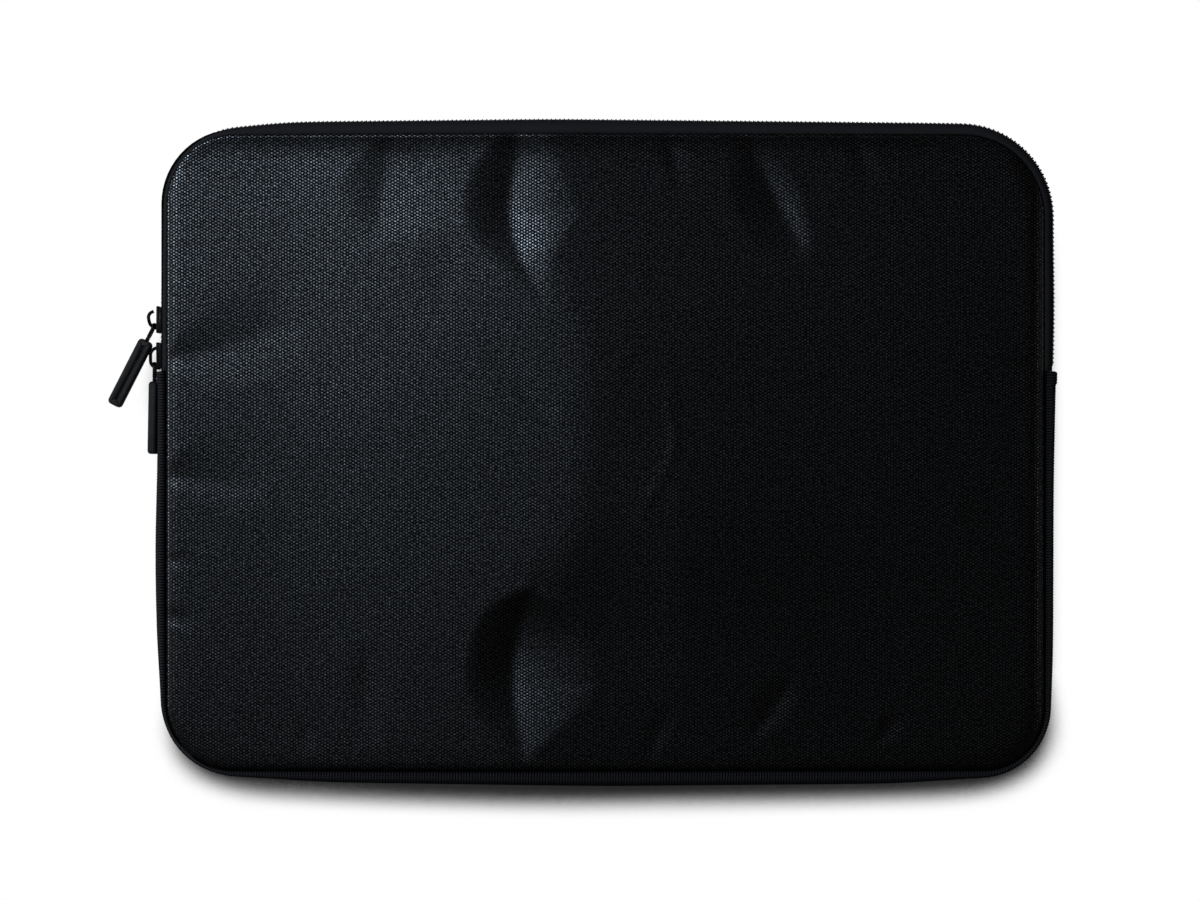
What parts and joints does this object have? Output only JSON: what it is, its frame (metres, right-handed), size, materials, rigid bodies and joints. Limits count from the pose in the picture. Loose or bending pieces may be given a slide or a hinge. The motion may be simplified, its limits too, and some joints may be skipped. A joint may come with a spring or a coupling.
{
  "type": "laptop sleeve",
  "caption": "Padded woven laptop sleeve with rounded corners, a zip over its upper half and a ribbed gusset round the rest; the upper front folds back to open.",
  "frame": {"origin": "middle of the back panel's outer face, on the surface that the sleeve lies on", "axes": "+X to the right seen from the front, +Y to the zipped top edge, +Z out of the front panel; the sleeve lies flat on its back"},
  "size_m": [0.3689, 0.258, 0.025],
  "materials": {
    "cover_fabric": "coarse plain weave, faint sheen",
    "gusset_webbing": "ribbed webbing",
    "lining_fabric": "smooth lining",
    "binding_tape": "folded tape",
    "foam": "open-cell foam",
    "zip_tape": "fine woven tape",
    "zip_coil": "moulded nylon coil",
    "slider_metal": "black enamel",
    "pull_metal": "black enamel",
    "grip_rubber": "moulded soft plastic"
  },
  "bodies": {
    "sleeve": {"back_cover": "cover_fabric", "back_foam": "foam", "back_lining": "lining_fabric", "back_binding": "binding_tape", "front_cover": "cover_fabric", "front_foam": "foam", "front_lining": "lining_fabric", "front_binding": "binding_tape", "gusset_cover": "gusset_webbing", "gusset_foam": "foam", "gusset_lining": "lining_fabric", "zip_tape_back": "zip_tape", "zip_coil_back": "zip_coil"},
    "flap": {"flap_cover": "cover_fabric", "flap_foam": "foam", "flap_lining": "lining_fabric", "flap_binding": "binding_tape", "zip_tape_front": "zip_tape", "zip_coil_front": "zip_coil"},
    "lower_slider": {"lower_slider": "slider_metal"},
    "lower_pull": {"lower_pull_link": "pull_metal", "lower_pull_grip": "grip_rubber"},
    "upper_slider": {"upper_slider": "slider_metal"},
    "upper_pull": {"upper_pull_link": "pull_metal", "upper_pull_grip": "grip_rubber"}
  },
  "joints": [
    {"name": "flap_fold", "type": "hinge", "parent": "sleeve", "child": "flap", "pos_m": [0, 0.031, 0.025], "axis": [1, 0, 0], "range_deg": [0, 70]},
    {"name": "lower_slider_travel", "type": "slide", "parent": "sleeve", "child": "lower_slider", "axis": [0, 1, 0], "range_m": [0, 0.018]},
    {"name": "upper_slider_travel", "type": "slide", "parent": "lower_slider", "child": "upper_slider", "axis": [0, 1, 0], "range_m": [0, 0.018]},
    {"name": "lower_pull_swing", "type": "hinge", "parent": "lower_slider", "child": "lower_pull", "pos_m": [-0.1764, 0.0338, 0.0125], "axis": [0, 0, -1], "range_deg": [0, 30]},
    {"name": "upper_pull_swing", "type": "hinge", "parent": "upper_slider", "child": "upper_pull", "pos_m": [-0.1764, 0.049, 0.0125], "axis": [0, 0, -1], "range_deg": [0, 110]}
  ]
}
